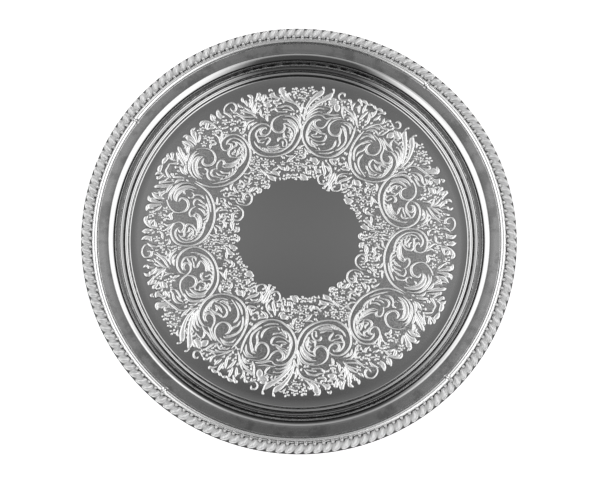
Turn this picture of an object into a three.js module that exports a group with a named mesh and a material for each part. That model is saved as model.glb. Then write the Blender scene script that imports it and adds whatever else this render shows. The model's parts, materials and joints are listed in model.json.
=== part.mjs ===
// Round silver-plated offering plate with a cast rope border, in millimetres, +Z up.
// The origin is at the middle of the underside that the plate rests on.
//
// The plate is one pressed sheet: a flat well, a stepped side wall and a level flange. Four cast
// border sections are soldered end to end on top of the flange and overhang its edge a little.
// Each section has a plain half-round bead on its inner side and slanting lobes on its outer side.

import * as THREE from "three";

// Driving dimensions
const plateRadius = 155; // to the outermost point of the border lobes
const sheet = 0.9; // thickness of the pressed sheet
const wellRadius = 121.4; // flat floor of the well
const flangeInnerRadius = 136.6; // where the shoulder meets the flange
const wellDepth = 12.6; // top of the well's floor to the top of the flange
const borderWidth = 12.2;
const borderHeight = 3.7; // flange top to the crown of the lobes
const lobeCount = 148;
const jointLobes = [22, 61, 96, 131]; // the solder joints, counted in lobes from +X towards +Y
const solderGap = 0.25; // solder line between two border sections

// Worked-out dimensions
const wellTop = sheet;
const flangeTop = wellTop + wellDepth;
const borderInnerRadius = plateRadius - borderWidth;
const sheetEdgeRadius = plateRadius - 1.3; // the lobes overhang the sheet's trimmed edge
const aroundPlate = 96; // flat facets round the sheet
const stationsPerLobe = 2; // one at the crest of a lobe, one in the valley beside it

const silverPlate = () => new THREE.MeshStandardMaterial({ color: 0xdedede, roughness: 0.12, metalness: 1 });
const castSilver = () => new THREE.MeshStandardMaterial({ color: 0xe2e1df, roughness: 0.16, metalness: 1 });

// The upper surface of the sheet from the axis outwards: floor, two small pressed steps, wall, shoulder
// and flange. `offset` moves it along Z for the lower surface, which the press makes by the same strokes.
function sheetProfile(offset) {
  const floor = wellTop + offset;
  const flange = flangeTop + offset;
  const profile = new THREE.Path();
  profile.moveTo(0, floor);
  profile.lineTo(wellRadius, floor);
  // first step, a small rounded rise at the edge of the floor
  profile.bezierCurveTo(wellRadius + 1.4, floor, wellRadius + 1.2, floor + 1.7, wellRadius + 2.8, floor + 1.7);
  // second step, a wider rise that ends in the hollow at the foot of the wall
  profile.bezierCurveTo(wellRadius + 4.4, floor + 1.7, wellRadius + 4.0, floor + 4.0, wellRadius + 5.8, floor + 4.2);
  // wall, leaning outwards
  profile.bezierCurveTo(wellRadius + 8.0, floor + 4.6, wellRadius + 8.2, flange - 4.6, wellRadius + 9.4, flange - 3.0);
  // shoulder, turning over into the level flange
  profile.bezierCurveTo(wellRadius + 10.9, flange - 1.0, flangeInnerRadius - 1.8, flange, flangeInnerRadius, flange);
  profile.lineTo(sheetEdgeRadius, flange);
  return profile;
}

// The points of the sheet's section, out along the top and back along the underside to the axis.
function sheetSection() {
  const divisionsPerCurve = 4;
  const top = sheetProfile(0).getPoints(divisionsPerCurve);
  const under = sheetProfile(-sheet).getPoints(divisionsPerCurve).reverse();
  const shift = sheet * 0.55; // the underside of the wall stands outside the upper side
  const standsClear = under.map((p) => {
    const onWall = p.x > wellRadius + 0.1 && p.x < flangeInnerRadius - 0.1;
    return onWall ? new THREE.Vector2(p.x + shift, p.y) : p;
  });
  return [...top, ...standsClear];
}

function plateSheet() {
  const outline = sheetSection().reverse();
  const geometry = new THREE.LatheGeometry(outline, aroundPlate);
  geometry.rotateX(Math.PI / 2);
  const mesh = new THREE.Mesh(geometry, silverPlate());
  mesh.name = "pressed_plate";
  return mesh;
}

// An arc round the Z axis that the border's section is swept along.
class RingArc extends THREE.Curve {
  constructor(radius, height, from, to) {
    super();
    Object.assign(this, { radius, height, from, to });
  }

  getPoint(t, target = new THREE.Vector3()) {
    const angle = this.from + (this.to - this.from) * t;
    return target.set(this.radius * Math.cos(angle), this.radius * Math.sin(angle), this.height);
  }

  getTangent(t, target = new THREE.Vector3()) {
    const angle = this.from + (this.to - this.from) * t;
    return target.set(-Math.sin(angle), Math.cos(angle), 0);
  }
}

// Border section: a half-round bead, a groove, and the crown that the lobes are cut into. The sweep
// puts the shape's x downwards and its y towards the axis, both from the border's inner lower edge.
function borderShape() {
  const beadHalfWidth = 2.5;
  const beadHeight = 2.1;
  const crownCentre = borderWidth - 3.55;
  const crownHalfWidth = 3.55;
  const crownBase = 0.8;
  const crownHeight = borderHeight - crownBase;
  const shape = new THREE.Shape();
  const at = (radial, height) => [-height, -radial];
  shape.moveTo(...at(0, 0));
  const beadSteps = 5;
  for (let i = 1; i < beadSteps; i++) {
    const a = Math.PI * (1 - i / beadSteps);
    shape.lineTo(...at(beadHalfWidth + beadHalfWidth * Math.cos(a), beadHeight * Math.sin(a)));
  }
  shape.lineTo(...at(2 * beadHalfWidth + 0.1, 0.75));
  const crownSteps = 6;
  for (let i = 1; i <= crownSteps; i++) {
    const a = Math.PI * (1 - i / crownSteps);
    shape.lineTo(...at(crownCentre + crownHalfWidth * Math.cos(a), crownBase + crownHeight * Math.sin(a)));
  }
  shape.lineTo(...at(borderWidth - 1.0, 0));
  shape.closePath();
  return shape;
}

// Cuts the valleys between the lobes into the crown and leans them: seen from above, the outer end of
// a lobe lies clockwise of its inner end.
function cutLobes(geometry) {
  const pitch = (2 * Math.PI) / lobeCount;
  const valleyDepth = 0.85;
  const lean = 0.55 * pitch;
  const crownStart = borderInnerRadius + 5.2;
  const seat = flangeTop + 0.4; // nothing under this height moves inwards, so the seat stays flat
  const position = geometry.attributes.position;
  for (let i = 0; i < position.count; i++) {
    const x = position.getX(i);
    const y = position.getY(i);
    const z = position.getZ(i);
    const radius = Math.hypot(x, y);
    const across = THREE.MathUtils.clamp((radius - crownStart) / (plateRadius - crownStart), 0, 1);
    const angle = Math.atan2(y, x);
    const crest = Math.abs(Math.sin((angle * lobeCount) / 2));
    const depth = across > 0.02 && z > seat ? valleyDepth * (1 - crest) : 0;
    const outward = across * across;
    const newRadius = radius - depth * outward;
    const newAngle = angle - lean * across;
    const newHeight = z - depth * (1 - outward);
    position.setXYZ(i, newRadius * Math.cos(newAngle), newRadius * Math.sin(newAngle), newHeight);
  }
  position.needsUpdate = true;
  return geometry;
}

function borderSection(index) {
  const pitch = (2 * Math.PI) / lobeCount;
  const first = jointLobes[index];
  const last = index + 1 < jointLobes.length ? jointLobes[index + 1] : jointLobes[0] + lobeCount;
  const halfGap = solderGap / 2 / plateRadius;
  const arc = new RingArc(borderInnerRadius, flangeTop, first * pitch + halfGap, last * pitch - halfGap);
  const steps = (last - first) * stationsPerLobe;
  const geometry = new THREE.ExtrudeGeometry(borderShape(), { steps, extrudePath: arc, bevelEnabled: false });
  const mesh = new THREE.Mesh(cutLobes(geometry), castSilver());
  mesh.name = `border_section_${index + 1}`;
  return mesh;
}

const offeringPlate = new THREE.Group();
offeringPlate.name = "offering_plate";
offeringPlate.add(plateSheet());
jointLobes.forEach((_, index) => offeringPlate.add(borderSection(index)));

export default offeringPlate;
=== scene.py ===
"""Round silver-plated offering plate: pressed sheet, chased scrollwork and a soldered cast border.

The sheet is a turned skin with its real thickness. The scrollwork is drawn as strokes in one quarter of
the well, in millimetres, mirrored and turned into the other three, and raised as ridges by a geometry
node tree. Each border section is a swept strip that carries a row of repeated lobes.
"""

import json
import math
import random

import bmesh
import bpy
from mathutils import Matrix, Vector, kdtree


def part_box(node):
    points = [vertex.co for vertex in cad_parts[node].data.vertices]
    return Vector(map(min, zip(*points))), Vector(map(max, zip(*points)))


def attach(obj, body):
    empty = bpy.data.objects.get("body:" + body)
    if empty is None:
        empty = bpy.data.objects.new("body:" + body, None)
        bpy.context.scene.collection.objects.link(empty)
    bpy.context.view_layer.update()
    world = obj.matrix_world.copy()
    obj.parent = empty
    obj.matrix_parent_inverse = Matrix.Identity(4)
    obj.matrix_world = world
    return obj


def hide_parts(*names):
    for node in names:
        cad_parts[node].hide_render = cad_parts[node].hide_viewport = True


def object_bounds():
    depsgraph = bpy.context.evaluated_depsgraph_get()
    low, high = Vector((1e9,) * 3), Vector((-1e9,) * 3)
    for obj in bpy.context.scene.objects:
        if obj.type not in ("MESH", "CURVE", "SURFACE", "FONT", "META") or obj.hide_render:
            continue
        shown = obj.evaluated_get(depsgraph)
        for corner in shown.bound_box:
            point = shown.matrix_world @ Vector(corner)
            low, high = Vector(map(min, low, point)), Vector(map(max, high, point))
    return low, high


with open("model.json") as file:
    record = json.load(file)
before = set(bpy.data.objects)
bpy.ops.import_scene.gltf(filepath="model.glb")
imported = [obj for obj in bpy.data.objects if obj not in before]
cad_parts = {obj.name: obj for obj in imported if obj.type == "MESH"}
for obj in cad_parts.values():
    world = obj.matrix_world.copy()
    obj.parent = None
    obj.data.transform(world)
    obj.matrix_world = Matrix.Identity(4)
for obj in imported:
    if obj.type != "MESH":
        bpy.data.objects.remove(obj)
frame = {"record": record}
cad_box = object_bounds()

# ---------------------------------------------------------------- sizes from the frame, in metres

MM = 0.001
SHEET_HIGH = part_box("pressed_plate")[1]
MOUNTS = {mount["name"]: mount for mount in frame["record"]["mounts"]}

PLATE_RADIUS = max(cad_box[1][0], cad_box[1][1])
SHEET_EDGE = SHEET_HIGH[0]
FLOOR_TOP = MOUNTS["well_floor"]["pos_m"][2]
SHEET = FLOOR_TOP
FLANGE_TOP = SHEET_HIGH[2]

WELL_RADIUS = 0.783 * PLATE_RADIUS
FLANGE_INNER = 0.881 * PLATE_RADIUS
BORDER_INNER = 0.921 * PLATE_RADIUS
LOBE_COUNT = 148
JOINT_LOBES = (22, 61, 96, 131)
PITCH = 2 * math.pi / LOBE_COUNT
SOLDER_GAP = 0.25 * MM

ORNAMENT_AXIS = math.radians(65)
RIDGE_HEIGHT = 0.46  # height of a ridge of half width 1
MIRRORED_Y = 0.213  # the flat metal in the middle of the view mirrors this direction's Y


# ---------------------------------------------------------------- node graphs


class Wire:
    """A node's output that can be used in Python expressions; each operator adds its Math node."""

    def __init__(self, graph, socket):
        self.graph = graph
        self.socket = socket

    def math(self, operation, *values):
        return self.graph.node("ShaderNodeMath", {"operation": operation}, dict(enumerate(values)))

    def __add__(self, other):
        return self.math("ADD", self, other)

    def __sub__(self, other):
        return self.math("SUBTRACT", self, other)

    def __mul__(self, other):
        return self.math("MULTIPLY", self, other)

    def __truediv__(self, other):
        return self.math("DIVIDE", self, other)

    def __rsub__(self, other):
        return self.math("SUBTRACT", other, self)

    def __rtruediv__(self, other):
        return self.math("DIVIDE", other, self)

    __radd__ = __add__
    __rmul__ = __mul__

    def __pow__(self, other):
        return self.math("POWER", self, other)

    def __abs__(self):
        return self.math("ABSOLUTE", self)

    def clamp(self):
        return self.math("MINIMUM", self.math("MAXIMUM", self, 0.0), 1.0)


class Graph:
    """Adds nodes to a shader or geometry tree."""

    def __init__(self, tree):
        self.tree = tree

    def node(self, kind, settings=None, inputs=None, out=0):
        """Adds a node: its settings first, then the values or wires of its sockets by name or number."""
        node = self.tree.nodes.new(kind)
        for name, value in (settings or {}).items():
            setattr(node, name, value)
        for key, value in (inputs or {}).items():
            if isinstance(value, Wire):
                self.tree.links.new(value.socket, node.inputs[key])
            else:
                node.inputs[key].default_value = value
        return Wire(self, node.outputs[out]) if len(node.outputs) else node

    def split(self, vector):
        """The X, Y and Z of a vector."""
        parts = self.node("ShaderNodeSeparateXYZ", None, {0: vector}).socket.node.outputs
        return [Wire(self, socket) for socket in parts]

    def rise(self, value, low, high):
        """Goes smoothly from 0 to 1 while the value goes from low to high."""
        return self.node(
            "ShaderNodeMapRange", {"interpolation_type": "SMOOTHSTEP"}, {0: value, 1: low, 2: high}
        )

    def ramp(self, factor, stops):
        """A colour ramp from (place, grey) stops."""
        wire = self.node("ShaderNodeValToRGB", None, {0: factor})
        elements = wire.socket.node.color_ramp.elements
        while len(elements) < len(stops):
            elements.new(0.5)
        for element, (place, grey) in zip(elements, stops):
            element.position = place
            element.color = (grey, grey, grey, 1)
        return wire


# ---------------------------------------------------------------- materials


def new_material(name):
    material = bpy.data.materials.new(name)
    material.use_nodes = True
    material.node_tree.nodes.clear()
    return material, Graph(material.node_tree)


def finish_material(graph, colour, roughness, normal=None, metallic=1.0, more=None):
    inputs = {"Base Color": colour, "Roughness": roughness, "Metallic": metallic, **(more or {})}
    if normal is not None:
        inputs["Normal"] = normal
    surface = graph.node("ShaderNodeBsdfPrincipled", None, inputs)
    graph.node("ShaderNodeOutputMaterial", None, {"Surface": surface})


def grey_mix(graph, factor, first, second):
    """Mixes two greys, each a number or a colour wire."""
    first, second = (grey if isinstance(grey, Wire) else (grey, grey, grey, 1) for grey in (first, second))
    return graph.node("ShaderNodeMix", {"data_type": "RGBA"}, {0: factor, 6: first, 7: second}, out=2)


def noise(graph, place, scale, detail=3.0, rough=0.5):
    return graph.node(
        "ShaderNodeTexNoise", None, {"Vector": place, "Scale": scale, "Detail": detail, "Roughness": rough}
    )


def polish_marks(graph, place, angle, across):
    """Fine hairlines that run one way: noise squeezed across that way."""
    turned = graph.node(
        "ShaderNodeMapping", None, {0: place, 2: (0, 0, angle), 3: (1, across, 1)}
    )
    return noise(graph, turned, 90, 2.0, 0.6)


def sheet_silver():
    """Polished silver plate: hairlines, cloudy tarnished marks, painted shade on the well floor and in dark
    rings along the steps, a matted band.
    """
    material, graph = new_material("sheet_silver")
    place = graph.node("ShaderNodeTexCoord", out=3)
    x, y, _ = graph.split(place)
    radius = (x * x + y * y) ** 0.5
    marks = polish_marks(graph, place, 0.4, 14) * 0.5 + polish_marks(graph, place, 2.1, 11) * 0.5
    smudge = noise(graph, place, 28, 4.0, 0.6)
    in_well = 1 - graph.rise(radius, FLANGE_INNER - 2 * MM, FLANGE_INNER)
    clouds = graph.rise(noise(graph, place, 55, 4.0, 0.6), 0.45, 0.62)
    # painted shade: the whole well floor is painted darker than the flange; the smudges and the clouds on the
    # flange are tarnished marks
    tarnish_and_well_shade = (in_well * 0.38 + smudge * 0.12 + clouds * (1 - in_well) * 0.7).clamp()
    clean = grey_mix(graph, tarnish_and_well_shade, 0.93, 0.54)
    painted_step_shade = 0
    # (millimetres outside the well, half width, depth of the painted shade)
    for out, half, depth in ((4.2, 1.0, 0.7), (5.7, 0.9, 0.6), (8.6, 1.1, 0.85)):
        off = abs(radius - (WELL_RADIUS + out * MM))
        painted_step_shade = (1 - graph.rise(off, 0.3 * half * MM, half * MM)) * depth + painted_step_shade
    # painted shade: near-black rings along the pressed steps and the wall
    colour = grey_mix(graph, painted_step_shade, clean, 0.06)
    worked = graph.rise(radius, 43 * MM, 48 * MM) * (1 - graph.rise(radius, 108 * MM, 113 * MM))
    punched = graph.rise(noise(graph, place, 1900, 2.0, 0.5), 0.44, 0.6) * worked
    roughness = (0.05 + smudge * 0.05 + marks * 0.05 + punched * 0.13).clamp()
    relief = marks * 0.4 + smudge + punched * 0.5
    bump = graph.node("ShaderNodeBump", None, {"Strength": 0.06, "Distance": 0.0004, "Height": relief})
    finish_material(graph, colour, roughness, bump)
    return material


def chased_silver():
    """The raised ornament: painted highlight on the crests and painted shade where a ridge meets the floor.
    """
    material, graph = new_material("chased_silver")
    place = graph.node("ShaderNodeTexCoord", out=3)
    crest = graph.node("ShaderNodeAttribute", {"attribute_name": "crest"}, out=2)
    wear = noise(graph, place, 300, 3.0, 0.6)
    # painted highlight on the crests and painted shade at the foot of each ridge, with random wear
    bright = (graph.rise(crest, 0.02, 0.6) * 1.05 + wear * 0.3 - 0.12).clamp()
    colour = grey_mix(graph, bright, 0.03, 0.98)
    roughness = 0.36 - bright * 0.10
    bump = graph.node("ShaderNodeBump", None, {"Strength": 0.12, "Distance": 0.0001, "Height": wear})
    finish_material(graph, colour, roughness, bump, metallic=0.8)
    return material


def cast_silver():
    """The cast border: painted highlight on the lobes and the bead, painted shade in the gaps and along the
    groove, slightly soft from casting.
    """
    material, graph = new_material("cast_silver")
    place = graph.node("ShaderNodeTexCoord", out=3)
    x, y, height = graph.split(place)
    # painted shade: the low parts of the border, in the gaps between lobes and in the groove, are painted
    # dark
    rise = graph.rise(height, FLANGE_TOP + 0.9 * MM, FLANGE_TOP + 1.7 * MM)
    # painted highlight on the bead, which is also made smoother and more metallic
    on_bead = 1 - graph.rise((x * x + y * y) ** 0.5, BORDER_INNER + 4.4 * MM, BORDER_INNER + 5.0 * MM)
    grain = noise(graph, place, 520, 3.0, 0.6)
    bright = (rise + on_bead * 0.8 + grain * 0.3 - 0.1).clamp()
    colour = grey_mix(graph, bright, 0.06, 0.98)
    roughness = 0.42 - bright * 0.08
    bump = graph.node("ShaderNodeBump", None, {"Strength": 0.1, "Distance": 0.0001, "Height": grain})
    finish_material(graph, colour, roughness - on_bead * 0.1, bump, metallic=0.4 + on_bead * 0.6)
    return material


def pale_floor():
    material, graph = new_material("pale_floor")
    place = graph.node("ShaderNodeTexCoord", out=3)
    colour = grey_mix(graph, noise(graph, place, 3), 0.93, 0.95)
    finish_material(
        graph, colour, 0.7, metallic=0.0, more={"Emission Color": (1, 1, 1, 1), "Emission Strength": 0.6}
    )
    return material


SHEET_SILVER = sheet_silver()
CHASED_SILVER = chased_silver()
CAST_SILVER = cast_silver()


# ---------------------------------------------------------------- meshes


def face_outwards(mesh):
    work = bmesh.new()
    work.from_mesh(mesh)
    bmesh.ops.recalc_face_normals(work, faces=work.faces)
    work.to_mesh(mesh)
    work.free()


def new_object(name, vertices, faces, material, smooth=True):
    mesh = bpy.data.meshes.new(name)
    mesh.from_pydata(vertices, [], faces)
    mesh.materials.append(material)
    mesh.validate()
    face_outwards(mesh)
    if smooth:
        mesh.polygons.foreach_set("use_smooth", [True] * len(mesh.polygons))
    piece = bpy.data.objects.new(name, mesh)
    bpy.context.scene.collection.objects.link(piece)
    return piece


def bezier(a, b, c, d, steps):
    """Points of a cubic curve after its first one."""
    points = []
    for i in range(1, steps + 1):
        t = i / steps
        s = 1 - t
        shares = (s**3, 3 * s * s * t, 3 * s * t * t, t**3)
        points.append(tuple(sum(w * v for w, v in zip(shares, values)) for values in zip(a, b, c, d)))
    return points


def turned(name, profile, around, material):
    """Turns a profile of (radius, height) points, which starts and ends on the axis, about Z."""
    vertices, faces, rings = [], [], []
    for radius, height in profile:
        if radius < 1e-9:
            rings.append([len(vertices)])
            vertices.append((0, 0, height))
            continue
        rings.append(range(len(vertices), len(vertices) + around))
        for k in range(around):
            a = 2 * math.pi * k / around
            vertices.append((radius * math.cos(a), radius * math.sin(a), height))
    for low, high in zip(rings, rings[1:]):
        for k in range(around):
            n = (k + 1) % around
            quad = (low[k % len(low)], high[k % len(high)], high[n % len(high)], low[n % len(low)])
            faces.append(tuple(dict.fromkeys(quad)))
    return new_object(name, vertices, faces, material)


def loft(rings):
    """A closed skin over rings that have the same number of points."""
    count = len(rings[0])
    vertices = [point for ring in rings for point in ring]
    faces = []
    for i in range(len(rings) - 1):
        for k in range(count):
            n = (k + 1) % count
            faces.append((i * count + k, i * count + n, (i + 1) * count + n, (i + 1) * count + k))
    faces.append(tuple(reversed(range(count))))
    faces.append(tuple(range((len(rings) - 1) * count, len(rings) * count)))
    return vertices, faces


def swept_strip(name, section, start, end, steps, material):
    """Sweeps a closed section of (radius, height) points round Z from one angle to another."""
    angles = [start + (end - start) * i / steps for i in range(steps + 1)]
    rings = [[(r * math.cos(a), r * math.sin(a), z) for r, z in section] for a in angles]
    return new_object(name, *loft(rings), material)


def bake(piece, name):
    """Turns a piece's evaluated shape into a plain mesh object and removes the working object."""
    evaluated = piece.evaluated_get(bpy.context.evaluated_depsgraph_get())
    mesh = bpy.data.meshes.new_from_object(evaluated)
    mesh.name = name
    result = bpy.data.objects.new(name, mesh)
    bpy.context.scene.collection.objects.link(result)
    bpy.data.objects.remove(piece)
    return result


def keep(piece, slot, *nodes):
    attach(piece, "root")
    if nodes:
        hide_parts(*nodes)


# ---------------------------------------------------------------- geometry node trees


def geometry_tree(name, sockets):
    """A tree with a geometry input, named inputs of the given types, and a geometry output."""
    tree = bpy.data.node_groups.new(name, "GeometryNodeTree")
    tree.interface.new_socket("Geometry", in_out="INPUT", socket_type="NodeSocketGeometry")
    for label, kind in sockets:
        tree.interface.new_socket(label, in_out="INPUT", socket_type=kind)
    tree.interface.new_socket("Geometry", in_out="OUTPUT", socket_type="NodeSocketGeometry")
    graph = Graph(tree)
    entry = tree.nodes.new("NodeGroupInput")
    wires = {socket.name: Wire(graph, socket) for socket in entry.outputs if socket.name}
    return graph, wires


def add_modifier(piece, tree, values):
    modifier = piece.modifiers.new("shape", "NODES")
    modifier.node_group = tree
    for item in tree.interface.items_tree:
        if item.in_out == "INPUT" and item.name in values:
            modifier[item.identifier] = values[item.name]


def ridge_tree():
    """Raises a ridge along each stroke; wide strokes are flattened so that none stands above the limit."""
    graph, given = geometry_tree(
        "raised_ridges",
        [
            ("Section", "NodeSocketObject"),
            ("Floor", "NodeSocketFloat"),
            ("Highest", "NodeSocketFloat"),
            ("Material", "NodeSocketMaterial"),
        ],
    )
    section = graph.node("GeometryNodeObjectInfo", None, {"Object": given["Section"]}, out="Geometry")
    upright = graph.node("GeometryNodeSetCurveNormal", {"mode": "Z_UP"}, {"Curve": given["Geometry"]})
    radius = graph.node("GeometryNodeInputRadius")
    measured = graph.node(
        "GeometryNodeStoreNamedAttribute", None, {"Geometry": upright, "Name": "half_width", "Value": radius}
    )
    tube = graph.node(
        "GeometryNodeCurveToMesh",
        None,
        {"Curve": measured, "Profile Curve": section, "Scale": radius, "Fill Caps": True},
    )
    x, y, z = graph.split(graph.node("GeometryNodeInputPosition"))
    above = z - given["Floor"]
    half_width = graph.node("GeometryNodeInputNamedAttribute", None, {"Name": "half_width"})
    # 'crest' is each point's height share on its ridge; the chased material paints highlight and shade from
    # it
    tube = graph.node(
        "GeometryNodeStoreNamedAttribute",
        None,
        {"Geometry": tube, "Name": "crest", "Value": above / (half_width * RIDGE_HEIGHT)},
    )
    share = above / given["Highest"]
    flattened = given["Floor"] + given["Highest"] * share.math("TANH", share)
    moved = graph.node("ShaderNodeCombineXYZ", None, {0: x, 1: y, 2: flattened})
    shaped = graph.node("GeometryNodeSetPosition", None, {"Geometry": tube, "Position": moved})
    smooth = graph.node("GeometryNodeSetShadeSmooth", None, {0: shaped, "Shade Smooth": True})
    real = graph.node("GeometryNodeRealizeInstances", None, {0: smooth})
    painted = graph.node("GeometryNodeSetMaterial", None, {0: real, "Material": given["Material"]})
    graph.node("NodeGroupOutput", None, {0: painted})
    return graph.tree


def row_tree():
    """Repeats a unit round Z, one pitch after another, and joins the row to the strip that carries it."""
    graph, given = geometry_tree(
        "row_round_the_rim",
        [
            ("Unit", "NodeSocketObject"),
            ("Count", "NodeSocketInt"),
            ("Start", "NodeSocketFloat"),
            ("Pitch", "NodeSocketFloat"),
            ("Material", "NodeSocketMaterial"),
        ],
    )
    unit = graph.node("GeometryNodeObjectInfo", None, {"Object": given["Unit"]}, out="Geometry")
    points = graph.node("GeometryNodeMeshLine", None, {"Count": given["Count"], "Offset": (0, 0, 0)})
    angle = given["Start"] + graph.node("GeometryNodeInputIndex") * given["Pitch"]
    turn = graph.node("ShaderNodeCombineXYZ", None, {2: angle})
    row = graph.node(
        "GeometryNodeInstanceOnPoints", None, {"Points": points, "Instance": unit, "Rotation": turn}
    )
    joined = graph.tree.nodes.new("GeometryNodeJoinGeometry")
    graph.tree.links.new(row.socket, joined.inputs[0])
    graph.tree.links.new(given["Geometry"].socket, joined.inputs[0])
    real = graph.node("GeometryNodeRealizeInstances", None, {0: Wire(graph, joined.outputs[0])})
    painted = graph.node("GeometryNodeSetMaterial", None, {0: real, "Material": given["Material"]})
    graph.node("NodeGroupOutput", None, {0: painted})
    return graph.tree


# ---------------------------------------------------------------- the pressed sheet


def sheet_line(floor, flange):
    """One side of the sheet from the axis to its edge: floor, two pressed steps, wall, shoulder, flange."""
    steps, rings_on_floor, rings_on_flange = 10, 24, 6
    inner = FLANGE_INNER
    width = SHEET_EDGE - 0.4 * MM - inner

    def at(out, up):
        return (WELL_RADIUS + out * MM, floor + up * MM)

    def under(out, down):
        return (WELL_RADIUS + out * MM, flange - down * MM)

    line = [(WELL_RADIUS * i / rings_on_floor, floor) for i in range(rings_on_floor + 1)]
    line += bezier(at(0, 0), at(1.4, 0), at(1.2, 1.7), at(2.8, 1.7), steps)
    line += bezier(at(2.8, 1.7), at(4.4, 1.7), at(4.0, 4.0), at(5.8, 4.2), steps)
    line += bezier(at(5.8, 4.2), at(8.0, 4.6), under(8.2, 4.6), under(9.4, 3.0), steps)
    line += bezier(under(9.4, 3.0), under(10.9, 1.0), (inner - 1.8 * MM, flange), (inner, flange), steps)
    line += [(inner + width * i / rings_on_flange, flange) for i in range(1, rings_on_flange + 1)]
    return line


def pressed_plate():
    top = sheet_line(FLOOR_TOP, FLANGE_TOP)
    bottom = sheet_line(0, FLANGE_TOP - SHEET)
    wall_shift = 0.5 * MM
    bottom = [
        (r + wall_shift, z) if WELL_RADIUS + 0.1 * MM < r < FLANGE_INNER - 0.1 * MM else (r, z)
        for r, z in bottom
    ]
    edge = [(SHEET_EDGE, FLANGE_TOP - 0.25 * SHEET), (SHEET_EDGE, FLANGE_TOP - 0.75 * SHEET)]
    profile = bottom + edge[::-1] + top[::-1]
    return turned("pressed_plate_skin", profile, 360, SHEET_SILVER)


# ---------------------------------------------------------------- the cast border


def border_section_line():
    """The strip's section: a half-round bead, the groove, and the seat that carries the lobes."""
    points = []
    bead_half, bead_height = 2.5 * MM, 2.1 * MM
    steps = 12
    for i in range(steps):
        a = math.pi * (1 - i / steps)
        points.append(
            (BORDER_INNER + bead_half * (1 + math.cos(a)), FLANGE_TOP + bead_height * math.sin(a))
        )
    seat = [(5.1, 0.6), (5.6, 0.9), (6.4, 1.3), (8.0, 1.4), (9.8, 1.3)]
    seat += [(11.3, 0.9), (12.0, 0.5), (12.0, 0.1), (11.2, 0.0)]
    points += [(BORDER_INNER + r * MM, FLANGE_TOP + z * MM) for r, z in seat]
    points += [(BORDER_INNER + r * MM, FLANGE_TOP) for r in (8.0, 4.0)]
    return points[::-1]


def ball(belts, around, first, less, placed):
    """A ball in rings from its foot to its top; `placed` puts a point of the unit ball where it belongs."""
    rings = []
    for i in range(belts):
        a = math.pi * (i + first) / (belts - less) - math.pi / 2
        out, up = math.cos(a), math.sin(a)
        turns = [2 * math.pi * k / around for k in range(around)]
        rings.append([tuple(placed(out * math.cos(b), out * math.sin(b), up)) for b in turns])
    return loft(rings)


def lobe_unit():
    """One leaning lobe with a round outer head, and the pearl beside its inner end."""
    lean = 0.55 * PITCH
    first, last = PLATE_RADIUS - 7.2 * MM, PLATE_RADIUS - 0.6 * MM
    sections, around = 9, 10
    rings = []
    for i in range(sections):
        t = i / (sections - 1)
        along = math.sin(math.pi / 2 * t) * 0.55 + t * 0.45
        radius = first + (last - first) * along
        rounding = math.sqrt(max(0.0, 1 - max(0, t - 0.55) ** 2 / 0.2026))
        half = (1.5 + 1.85 * min(1, t * 1.5) ** 0.8) * MM * rounding
        half = max(half, 0.25 * MM)
        crown = (1.9 + 1.85 * math.sin(math.pi * min(1, 0.12 + 0.86 * t)) ** 0.8) * MM
        centre_angle = -lean * (t - 0.35)
        base = FLANGE_TOP + 0.35 * MM
        ring = []
        for k in range(around):
            a = 2 * math.pi * k / around
            across = half * math.cos(a) / radius
            up = crown * (1 - abs(math.cos(a)) ** 2.2) if math.sin(a) > 0 else 0.3 * MM * math.sin(a)
            angle = centre_angle - across
            ring.append((radius * math.cos(angle), radius * math.sin(angle), base + up))
        rings.append(ring)
    vertices, faces = loft(rings)
    pearl = 1.25 * MM
    turn = Matrix.Rotation(0.6 * PITCH, 3, "Z")
    centre = Vector((PLATE_RADIUS - 7.2 * MM, 0, FLANGE_TOP + 2.0 * MM))
    more_vertices, more_faces = ball(
        5, 8, 0.35, 0.3, lambda x, y, z: turn @ (centre + pearl * Vector((x, y, z)))
    )
    faces += [tuple(corner + len(vertices) for corner in face) for face in more_faces]
    vertices += more_vertices
    unit = new_object("lobe_unit", vertices, faces, CAST_SILVER)
    return unit


def lump(angle, radius, height, size):
    """A low oval lump of solder: its half sizes are along the radius, round the rim and upwards."""
    turn = Matrix.Rotation(angle, 3, "Z")
    centre = Vector((radius, 0, height))
    return ball(
        7, 12, 0.3, 0.4, lambda x, y, z: turn @ (centre + Vector((x * size[0], y * size[1], z * size[2])))
    )


def add_solder(strip, angle):
    """Solder over the joint at one end of a section: on its bead, in its groove and against the flange."""
    work = bmesh.new()
    work.from_mesh(strip.data)
    # (outwards, upwards, half sizes) in millimetres
    for out, up, size in (
        (2.4, 1.0, (2.3, 1.3, 1.35)),
        (5.2, 0.9, (1.3, 0.9, 1.2)),
        (0.2, 0.1, (0.9, 1.7, 0.5)),
        (9.0, 1.4, (2.2, 0.7, 1.5)),
    ):
        vertices, faces = lump(angle, BORDER_INNER + out * MM, FLANGE_TOP + up * MM, [v * MM for v in size])
        corners = [work.verts.new(vertex) for vertex in vertices]
        for face in faces:
            work.faces.new([corners[i] for i in face]).smooth = True
    bmesh.ops.recalc_face_normals(work, faces=work.faces)
    work.to_mesh(strip.data)
    work.free()


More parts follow.
